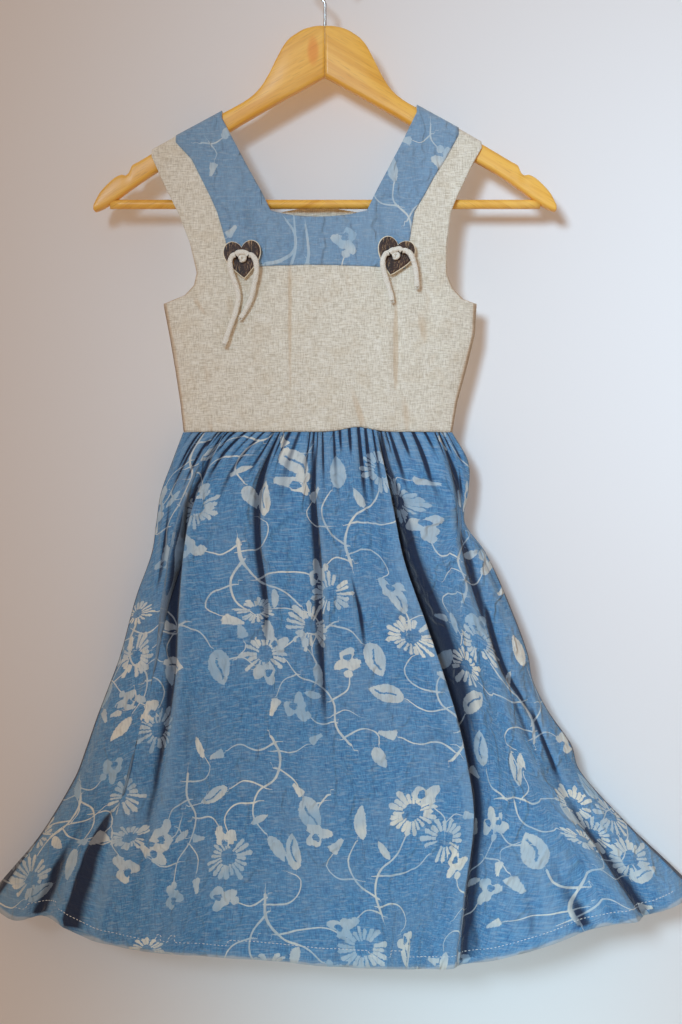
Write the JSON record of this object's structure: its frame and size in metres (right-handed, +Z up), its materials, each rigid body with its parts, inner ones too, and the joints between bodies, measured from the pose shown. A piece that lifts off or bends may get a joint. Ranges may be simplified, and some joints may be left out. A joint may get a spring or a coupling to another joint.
{
  "type": "dirndl",
  "caption": "Girl's sleeveless dirndl on a wooden hanger: linen bodice, printed neck band and gathered printed skirt, heart buttons with knotted cords.",
  "frame": {"origin": "inside the bend of the hanger's hook, at its top, where a rail or peg carries the hanger", "axes": "+Z up, the front of the dress faces -Y, +X to the right of someone who looks at the front"},
  "size_m": [0.687, 0.0948, 0.9659],
  "materials": {
    "wood": "satin lacquer",
    "hook_wire": "polished wire",
    "linen": "plain woven linen",
    "printed_cotton": "faded floral print",
    "shell": "polished coconut shell",
    "cord": "cotton cord"
  },
  "bodies": {
    "root": {"hanger_arm_left": "wood", "hanger_arm_right": "wood", "hanger_bar": "wood", "hanger_hook": "hook_wire", "bodice_front": "linen", "bodice_back": "linen", "neck_band_front": "printed_cotton", "neck_band_back": "printed_cotton", "skirt_front": "printed_cotton", "skirt_back": "printed_cotton", "heart_left": "shell", "heart_right": "shell", "cord_knot_left": "cord", "cord_knot_right": "cord", "cord_tail_left_1": "cord", "cord_tail_left_2": "cord", "cord_tail_right_1": "cord", "cord_tail_right_2": "cord"}
  },
  "joints": []
}
